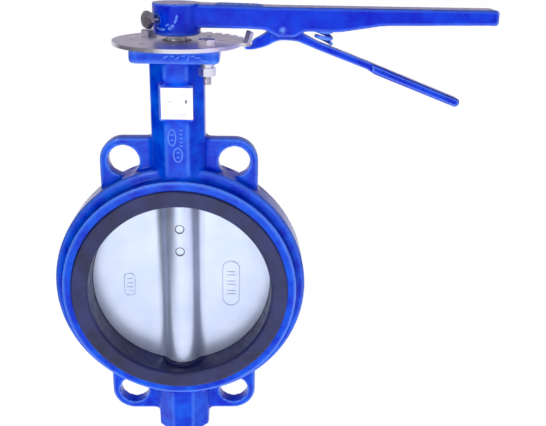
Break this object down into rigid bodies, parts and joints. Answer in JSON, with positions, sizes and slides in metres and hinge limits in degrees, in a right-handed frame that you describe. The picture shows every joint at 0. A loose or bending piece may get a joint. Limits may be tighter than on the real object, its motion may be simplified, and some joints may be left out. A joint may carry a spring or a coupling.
{
  "type": "butterfly valve",
  "caption": "Wafer butterfly valve with a rubber-lined bore, a disc on an upright stem, and a notched hand lever locked by a sprung trigger.",
  "frame": {"origin": "centre of the bore, on the stem axis", "axes": "Y is the pipe axis, +Z is the stem axis towards the lever, +X is where the lever points when the valve is closed"},
  "size_m": [0.3609, 0.1119, 0.385],
  "materials": {
    "blue_paint": "glossy enamel over a cast surface",
    "rubber": "satin moulded rubber",
    "disc_metal": "satin, fine cast grain",
    "stem_steel": "turned",
    "dark_steel": "dark machine finish",
    "bushing": "plain bearing plastic",
    "zinc": "zinc plated",
    "label": "blank label"
  },
  "bodies": {
    "valve_body": {"body_casting": "blue_paint", "seat_liner": "rubber", "upper_bushing": "bushing", "middle_bushing": "bushing", "lower_bushing": "bushing", "stem_o_rings": "rubber", "lower_o_ring": "rubber", "stem_dust_seal": "rubber", "bottom_plug": "zinc", "bottom_plug_gasket": "rubber", "position_plate": "zinc", "plate_bolts": "zinc", "plate_nut": "zinc", "plate_flat_washer": "zinc", "plate_spring_washer": "zinc", "nameplate": "label"},
    "disc_and_lever": {"disc": "disc_metal", "upper_stem": "stem_steel", "lower_stem": "stem_steel", "hub_pins": "stem_steel", "stem_circlip": "stem_steel", "lever": "blue_paint", "lever_clamp_screw": "dark_steel", "trigger_pivot_pin": "dark_steel", "trigger_spring": "blue_paint"},
    "trigger": {"trigger": "blue_paint"}
  },
  "joints": [
    {"name": "stem_turn", "type": "hinge", "parent": "valve_body", "child": "disc_and_lever", "pos_m": [0, 0, 0], "axis": [0, 0, 1], "range_deg": [0, 90]},
    {"name": "trigger_pivot", "type": "hinge", "parent": "disc_and_lever", "child": "trigger", "pos_m": [0.0831, 0, 0.2196], "axis": [0, -1, 0], "range_deg": [-5.5, 10], "stiffness_Nm_per_rad": 2, "springref_deg": -5.5, "deforming": ["trigger_spring"]}
  ]
}
